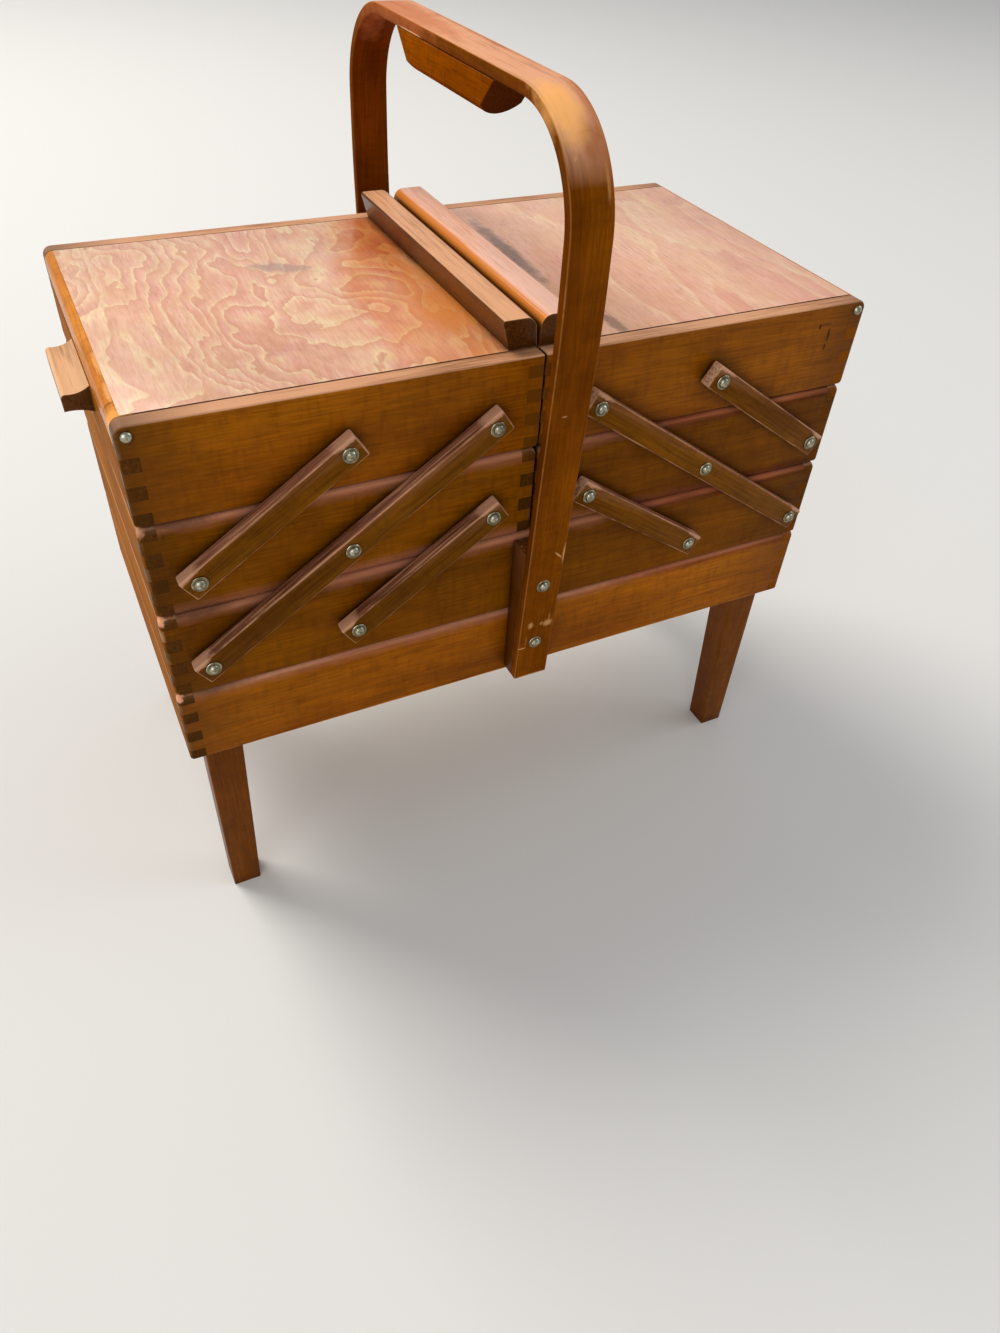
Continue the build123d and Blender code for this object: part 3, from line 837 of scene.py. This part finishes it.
woods = {
    "sideBoards": woodMaterial("sideBoards", grain=alongX, marks=boardMarks, **boardEnds),
    "baseBoards": woodMaterial(
        "baseBoards", grain=alongX, pale=tone(194, 112, 4), mid=tone(160, 84, 0), dark=tone(84, 38, 0),
        marks=rimMarks(rims["base"]) + bottomArris,
        **boardEnds | {"endPale": tone(124, 70, 16), "endDark": tone(84, 44, 10)},
    ),
    # middle and lower boards: a darker copy of the boards, painted shade under the trays above
    "shadedMiddleBoards": woodMaterial(
        "shadedMiddleBoards", grain=alongX, pale=tone(156, 90, 0), mid=tone(123, 67, 0), dark=tone(66, 33, 0),
        specular=0.04, marks=rimMarks(rims["lower"]) + rimMarks(rims["middle"]),
        **boardEnds | {"bloom": tone(226, 156, 112), "bloomAmount": 0.92, "grimeReach": 0.007},
    ),
    "endBoards": woodMaterial(
        "endBoards", grain=alongY, specular=0.0, coat=0.06, marks=endMarks,
        pale=tone(206, 128, 30), mid=tone(174, 98, 14), dark=tone(98, 48, 4),
        **boardEnds | {"dirtyEnds": (1, 0.095, 0.125), "wornEnds": None},
    ),
    "legs": woodMaterial(
        "legs", grain=alongZ, pale=tone(150, 84, 12), mid=tone(114, 58, 4), dark=tone(62, 28, 0),
        bloomAmount=0,
    ),
    "leftArms": woodMaterial("leftArms", grain=(0, armAngle, 0), marks=armEnds("left", -1), **armTones),
    "rightArms": woodMaterial("rightArms", grain=(0, -armAngle, 0), marks=armEnds("right", 1), **armTones),
    "leftVeneer": woodMaterial("leftVeneer", marks=lidMarks["left"], **veneerLook),
    "rightVeneer": woodMaterial("rightVeneer", marks=lidMarks["right"], **veneerLook | softFigure),
    "lidPanels": woodMaterial("lidPanels", **veneerLook | softFigure | {"coat": 0.05}),
    "edging": woodMaterial("edging", grain=alongY, bloomAmount=0.0, marks=edgingMarks, **orangeTones),
    "pulls": woodMaterial(
        "pulls", grain=alongY, bloom=tone(240, 188, 140), bloomAmount=0.9, pale=tone(190, 118, 44),
        mid=tone(164, 92, 24), dark=tone(96, 48, 8), endPale=tone(80, 50, 28), endDark=tone(50, 28, 14),
        endChips=0.05,
    ),
    "leftLip": woodMaterial(
        "leftLip", bloom=tone(238, 174, 128),
        **lipLook | shadedLip,
    ),
    "rightLip": woodMaterial("rightLip", bloom=tone(250, 200, 178), **lipLook),
    "plywood": woodMaterial(
        "plywood", grain=alongX, pale=tone(212, 172, 118), mid=tone(194, 152, 98), dark=tone(150, 108, 64),
        bloomAmount=0, gloss=0.5,
    ),
    "strap": woodMaterial(
        "strap", grain=alongX, followed="straightPlace", pale=tone(148, 80, 6), mid=tone(114, 55, 2),
        dark=tone(66, 30, 0), bloom=tone(246, 180, 140), bloomRange=(0.42, 0.80), marks=strapMarks,
        worn=tone(200, 136, 72), wear=0.65, wearWidth=0.001, specular=0.0, coat=0.03,
        innerShade=tone(228, 205, 150), grime=tone(60, 28, 8), grimeReach=0.008,
    ),
    "packers": woodMaterial(
        "packers", grain=alongZ, pale=tone(118, 64, 10), mid=tone(92, 44, 4), dark=tone(50, 22, 0),
        bloomAmount=0.3,
    ),
    "grip": woodMaterial(
        "grip", grain=alongY, pale=tone(162, 84, 4), mid=tone(130, 62, 0), dark=tone(76, 32, 0),
        bloomAmount=0, specular=0.0, coat=0.0, wear=0.15, endRange=(0.35, 0.6), endPale=tone(66, 32, 16),
        endDark=tone(44, 20, 10), endChips=0.0, grime=tone(66, 30, 8), grimeReach=0.004,
    ),
}
nickel = metalMaterial("nickel")
print("materials mixed")


def materialFor(node):
    side = node.split("_")[0]
    if "rivets" in node:
        return nickel
    if "_arm" in node:
        return woods[side + "Arms"]
    if "bottom_panel" in node:
        return woods["plywood"]
    if "leg_" in node:
        return woods["legs"]
    if "lid_panel" in node:
        return woods["lidPanels"]
    if "lip" in node:
        return woods[side + "Lip"]
    if "nosing" in node:
        return woods["edging"]
    if "pull" in node:
        return woods["pulls"]
    if "grip" in node:
        return woods["grip"]
    if "front_board" in node or "back_board" in node:
        if "mid_" in node or "lower_" in node:
            return woods["shadedMiddleBoards"]
        return woods["baseBoards" if "base_" in node else "sideBoards"]
    return woods["endBoards"]


# the CAD pieces keep their shape and get eased arrises

easing = {"width": 0.00045, "segments": 2, "sharpest": 38, "weld": 0.00001}

for node, cad in frame["nodes"].items():
    cad.data.materials.clear()
    cad.data.materials.append(materialFor(node))
    if "board" in node:
        continue  # their arrises are already round
    weld = cad.modifiers.new("weld", "WELD")
    weld.merge_threshold = easing["weld"]
    if "rivets" not in node:
        bevel = cad.modifiers.new("easing", "BEVEL")
        bevel.width = easing["width"]
        bevel.segments = easing["segments"]
        bevel.limit_method = "ANGLE"
        bevel.angle_limit = math.radians(easing["sharpest"])
    shading = cad.modifiers.new("shading", "WEIGHTED_NORMAL")
    shading.keep_sharp = False
print("boards eased")


# shared modelling steps

smoothing = 40  # degrees between faces, up to which they are shaded as one


def startPiece(name):
    piece = bpy.context.object
    piece.name = name
    piece.data.name = name
    return piece


def deselect():
    if bpy.context.object and bpy.context.object.mode != "OBJECT":
        bpy.ops.object.mode_set(mode="OBJECT")
    bpy.ops.object.select_all(action="DESELECT")


def finishPiece(piece, material, body, slot, *nodes):
    bpy.ops.object.transform_apply(location=True, rotation=True, scale=True)
    piece.data.materials.clear()
    piece.data.materials.append(material)
    bpy.ops.object.shade_smooth_by_angle(angle=math.radians(smoothing))
    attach(piece, body)
    if nodes:
        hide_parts(*nodes)


# swinging arms

arm = {"width": 0.015, "arris": 0.0011, "roundness": 3}


def shapeArm(node, side, body):
    low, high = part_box(node)
    thickness = high.y - low.y
    lean = math.radians(armAngle)
    length = (high.x - low.x - arm["width"] * math.sin(lean)) / math.cos(lean)
    deselect()
    bpy.ops.mesh.primitive_cube_add(size=1)
    piece = startPiece(node.replace("_", "-"))
    piece.scale = (length, thickness, arm["width"])
    bpy.ops.object.transform_apply(location=False, rotation=False, scale=True)
    bpy.ops.object.mode_set(mode="EDIT")
    bpy.ops.mesh.select_all(action="SELECT")
    bpy.ops.mesh.bevel(offset=arm["arris"], segments=arm["roundness"], affect="EDGES", clamp_overlap=True)
    bpy.ops.object.mode_set(mode="OBJECT")
    piece.location = (low + high) / 2
    piece.rotation_euler = (0, lean * side, 0)
    finishPiece(piece, materialFor(node), body, "arms", node)


for sideName, side in (("left", -1), ("right", 1)):
    for face in ("front", "back"):
        for kind in ("long", "lower", "upper"):
            shapeArm(f"{sideName}_{face}_{kind}_arm", side, f"{sideName}_{kind}_arms")
print("arms shaped")


# veneer glued over each lid panel and the flat of its nosing

veneer = {"thickness": 0.00015, "outerEdge": 0.2194, "fromMiddle": 0.0174, "easing": 0.00006}


def layVeneer(sideName, side):
    panel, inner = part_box(f"{sideName}_lid_panel"), veneer["fromMiddle"]
    width, depth = veneer["outerEdge"] - inner, panel[1].y - panel[0].y
    deselect()
    bpy.ops.mesh.primitive_cube_add(size=1)
    piece = startPiece(f"{sideName}Veneer")
    piece.scale = (width, depth, veneer["thickness"])
    piece.location = (side * (inner + width / 2), 0, panel[1].z + veneer["thickness"] / 2)
    bpy.ops.object.transform_apply(location=True, rotation=False, scale=True)
    bpy.ops.object.mode_set(mode="EDIT")
    bpy.ops.mesh.select_all(action="SELECT")
    bpy.ops.mesh.bevel(offset=veneer["easing"], segments=2, affect="EDGES")
    bpy.ops.object.mode_set(mode="OBJECT")
    finishPiece(piece, woods[f"{sideName}Veneer"], f"{sideName}_lid", "lids")


layVeneer("left", -1)
layVeneer("right", 1)
print("veneer laid")


# bent strap of the handle

strap = {
    "width": 0.024,
    "thickness": 0.0065,
    "arris": 0.001,
    "foot": (0.1345, 0.154),  # outer face, out from the middle and up from the floor
    "knee": (0.15098, 0.402),
    "corner": (0.1498, 0.501),
    "kneeRadius": 0.56,
    "cornerRadius": 0.057,
    "pieces": 300,
}


def filletArc(before, corner, after, radius):
    # start, end, centre and length of the arc that rounds a corner
    incoming, outgoing = (corner - before).normalized(), (after - corner).normalized()
    turn = incoming.angle(outgoing)
    setback = radius * math.tan(turn / 2)
    start, end = corner - incoming * setback, corner + outgoing * setback
    normal = Vector((-incoming.y, incoming.x))
    if normal.dot(outgoing) < 0:
        normal = -normal
    return start, end, start + normal * radius, radius * turn


def strapRuns():
    # straight runs and arcs of the outer face, from the front foot to the back foot, in (y, z)
    back = [Vector(strap[bend]) for bend in ("corner", "knee", "foot")]
    front = [Vector((-point.x, point.y)) for point in reversed(back)]
    points = front + back
    radii = [strap["kneeRadius"], strap["cornerRadius"], strap["cornerRadius"], strap["kneeRadius"]]
    runs, last = [], points[0]
    for index, radius in enumerate(radii, start=1):
        start, end, centre, length = filletArc(points[index - 1], points[index], points[index + 1], radius)
        runs.append(("line", last, start, (start - last).length))
        runs.append(("arc", start, centre, length))
        last = end
    runs.append(("line", last, points[-1], (points[-1] - last).length))
    return runs


def strapPlace(runs, distance):
    # point on the outer face and the direction of travel there
    for run in runs:
        kind, start, other, length = run
        if distance <= length or run is runs[-1]:
            if kind == "line":
                direction = (other - start).normalized()
                return start + direction * distance, direction
            spoke = start - other
            angle = -distance / spoke.length
            turned = Vector((
                spoke.x * math.cos(angle) - spoke.y * math.sin(angle),
                spoke.x * math.sin(angle) + spoke.y * math.cos(angle),
            ))
            return other + turned, Vector((turned.y, -turned.x)).normalized()
        distance -= length


def shapeStrap():
    runs = strapRuns()
    total = sum(run[3] for run in runs)
    deselect()
    bpy.ops.mesh.primitive_cube_add(size=1)
    piece = startPiece("bentStrap")
    piece.location = (total / 2, 0, -strap["thickness"] / 2)
    piece.scale = (total, strap["width"], strap["thickness"])
    bpy.ops.object.transform_apply(location=True, rotation=False, scale=True)
    bpy.ops.object.mode_set(mode="EDIT")
    bpy.ops.mesh.select_all(action="SELECT")
    bpy.ops.mesh.bevel(offset=strap["arris"], segments=3, affect="EDGES")
    for cut in range(1, strap["pieces"]):
        bpy.ops.mesh.select_all(action="SELECT")
        bpy.ops.mesh.bisect(plane_co=(total * cut / strap["pieces"], 0, 0), plane_no=(1, 0, 0))
    bpy.ops.object.mode_set(mode="OBJECT")
    # the grain follows the bend, so the straight places are kept before bending
    kept = piece.data.attributes.new("straightPlace", "FLOAT_VECTOR", "POINT")
    for vertex in piece.data.vertices:
        kept.data[vertex.index].vector = vertex.co
        distance, across, depth = vertex.co
        place, direction = strapPlace(runs, distance)
        outward = Vector((-direction.y, direction.x))
        vertex.co = (across, place.x + outward.x * depth, place.y + outward.y * depth)
    bpy.ops.object.mode_set(mode="EDIT")
    bpy.ops.mesh.select_all(action="SELECT")
    bpy.ops.mesh.normals_make_consistent(inside=False)
    bpy.ops.object.mode_set(mode="OBJECT")
    finishPiece(piece, woods["strap"], "base", "handle", "handle_bow")


shapeStrap()
print("strap bent")


# wedges that hold the strap off the boards

packer = {
    "width": 0.0236,
    "low": 0.154,
    "high": 0.258,
    "boardFace": 0.118,
    "intoStrap": 0.0002,
    "arris": 0.0004,
}


def shapePacker(name, sign):
    deselect()
    reach = strap["knee"][0] - packer["boardFace"]
    bpy.ops.mesh.primitive_cube_add(size=1)
    piece = startPiece(name)
    piece.scale = (packer["width"], reach, packer["high"] - packer["low"])
    piece.location = (0, sign * (packer["boardFace"] + reach / 2), (packer["high"] + packer["low"]) / 2)
    bpy.ops.object.transform_apply(location=True, rotation=False, scale=True)
    # cut to the slant of the strap's inner face
    (footY, footZ), (kneeY, kneeZ) = strap["foot"], strap["knee"]
    outward = Vector((kneeZ - footZ, footY - kneeY)).normalized()
    inner = Vector((footY, footZ)) - outward * (strap["thickness"] - packer["intoStrap"])
    bpy.ops.object.mode_set(mode="EDIT")
    bpy.ops.mesh.select_all(action="SELECT")
    bpy.ops.mesh.bisect(
        plane_co=(0, sign * inner.x, inner.y), plane_no=(0, sign * outward.x, outward.y),
        use_fill=True, clear_outer=True,
    )
    bpy.ops.mesh.select_all(action="SELECT")
    bpy.ops.mesh.bevel(offset=packer["arris"], segments=2, affect="EDGES")
    bpy.ops.mesh.select_all(action="SELECT")
    bpy.ops.mesh.normals_make_consistent(inside=False)
    bpy.ops.object.mode_set(mode="OBJECT")
    finishPiece(piece, woods["packers"], "base", "handle")


shapePacker("frontPacker", -1)
shapePacker("backPacker", 1)
print("packers cut")


# rivets, their washers and the lid pins

rivet = {
    "board": 0.010,
    "washer": {"radius": 0.0055, "thickness": 0.0025},
    "arm": 0.0085,
    "shank": 0.002,
    "flange": {"radius": 0.0045, "thickness": 0.0008, "easing": 0.0002},
    "dome": {"radius": 0.0031, "height": 0.0022, "tip": 0.06},  # the tip is a share of the radius
    "tail": {"radius": 0.0034, "thickness": 0.0012, "easing": 0.0003},
    "sides": 40,
    "domeSteps": 7,
    "foot": 0.186,  # heights of the two through the strap
    "head": 0.235,
    "sunk": 0.0004,
}


def turnedPiece(name, profile):
    # profile is (radius, height) from the bottom up: the top face is drawn up and resized step by step
    radius, height = profile[0]
    deselect()
    bpy.ops.mesh.primitive_circle_add(
        vertices=rivet["sides"], radius=radius, fill_type="NGON", location=(0, 0, height),
    )
    piece = startPiece(name)
    bpy.ops.object.transform_apply(location=True)
    bpy.ops.object.mode_set(mode="EDIT")
    bpy.ops.mesh.select_all(action="SELECT")
    for nextRadius, nextHeight in profile[1:]:
        lift = (0, 0, nextHeight - height)
        bpy.ops.mesh.extrude_region_move(TRANSFORM_OT_translate={"value": lift})
        factor = nextRadius / radius
        bpy.ops.transform.resize(value=(factor, factor, 1), center_override=(0, 0, nextHeight))
        radius, height = nextRadius, nextHeight
    bpy.ops.mesh.select_all(action="SELECT")
    bpy.ops.mesh.normals_make_consistent(inside=False)
    bpy.ops.object.mode_set(mode="OBJECT")
    return piece


def domeProfile(base):
    dome, steps = rivet["dome"], rivet["domeSteps"]
    angles = [math.pi / 2 * step / steps for step in range(steps)]
    rise = [(dome["radius"] * math.cos(angle), base + dome["height"] * math.sin(angle)) for angle in angles]
    return rise + [(dome["radius"] * dome["tip"], base + dome["height"])]


def rivetProfile(seat):
    board, tail, flange = rivet["board"], rivet["tail"], rivet["flange"]
    low = -board - tail["thickness"]
    top = seat + flange["thickness"]
    return [
        (tail["radius"] - tail["easing"], low),
        (tail["radius"], low + tail["easing"]),
        (tail["radius"], -board),
        (rivet["shank"], -board),
        (rivet["shank"], seat),
        (flange["radius"] - flange["easing"], seat),
        (flange["radius"], seat + flange["easing"]),
        (flange["radius"], top - flange["easing"]),
        (flange["radius"] - flange["easing"], top),
    ] + domeProfile(top)


def washerProfile():
    radius, thickness = rivet["washer"]["radius"], rivet["washer"]["thickness"]
    eased = rivet["flange"]["easing"]
    return [
        (radius - eased, 0),
        (radius, eased),
        (radius, thickness - eased),
        (radius - eased, thickness),
    ]


def pinProfile():
    return [(rivet["shank"], -rivet["board"]), (rivet["shank"], 0)] + domeProfile(0)


armSeat = rivet["washer"]["thickness"] + rivet["arm"]
masters = {
    "rivet": turnedPiece("rivetMaster", rivetProfile(armSeat)),
    "washer": turnedPiece("washerMaster", washerProfile()),
    "pin": turnedPiece("pinMaster", pinProfile()),
}
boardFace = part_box("base_front_board")[0].y  # the front; the back is as far the other way


def setRivets(name, body, node, places):
    # places are (master, x, z), each set on the front and the back
    copies = []
    for master, x, z in places:
        for sign in (-1, 1):
            deselect()
            twin = masters[master].copy()
            twin.data = masters[master].data.copy()
            scene.collection.objects.link(twin)
            twin.location = (x, -sign * boardFace, z)
            twin.rotation_euler = (-sign * math.pi / 2, 0, 0)
            copies.append(twin)
    deselect()
    for twin in copies:
        twin.select_set(True)
    bpy.context.view_layer.objects.active = copies[0]
    bpy.ops.object.transform_apply(location=True, rotation=True, scale=True)
    bpy.ops.object.join()
    startPiece(name)
    finishPiece(bpy.context.object, nickel, body, "fittings", node)


def armRivets(points):
    return [(kind, point.x, point.z) for point in points for kind in ("rivet", "washer")]


def strapSeat(height):
    # the rivet heads lie on the strap's slanting outer face, over the board
    (footOut, footUp), (kneeOut, kneeUp) = strap["foot"], strap["knee"]
    out = footOut + (kneeOut - footOut) * (height - footUp) / (kneeUp - footUp)
    return out + boardFace - rivet["sunk"]


strapPlaces = []
for height in (rivet["foot"], rivet["head"]):
    masters[f"strapRivet{height}"] = turnedPiece("strapRivetMaster", rivetProfile(strapSeat(height)))
    strapPlaces.append((f"strapRivet{height}", 0, height))

basePlaces = []
for sideName in ("left", "right"):
    spread, swing = pivot(f"{sideName}_spread"), pivot(f"{sideName}_lower_swing")
    middle, upper = pivot(f"{sideName}_mid_level"), pivot(f"{sideName}_upper_swing")
    head, pin = pivot(f"{sideName}_top_level"), pivot(f"{sideName}_lid_hinge")
    step = middle - spread
    basePlaces += armRivets([spread, swing])
    setRivets(
        f"{sideName}MidRivets", f"{sideName}_mid_tray", f"{sideName}_mid_rivets",
        armRivets([middle, swing + step, upper]),
    )
    setRivets(
        f"{sideName}TopRivets", f"{sideName}_top_tray", f"{sideName}_top_rivets",
        armRivets([head, upper + step]) + [("pin", pin.x, pin.z)],
    )
setRivets("baseRivets", "base", "base_rivets", basePlaces + strapPlaces)
for master in masters.values():
    bpy.data.objects.remove(master)
print("rivets set")
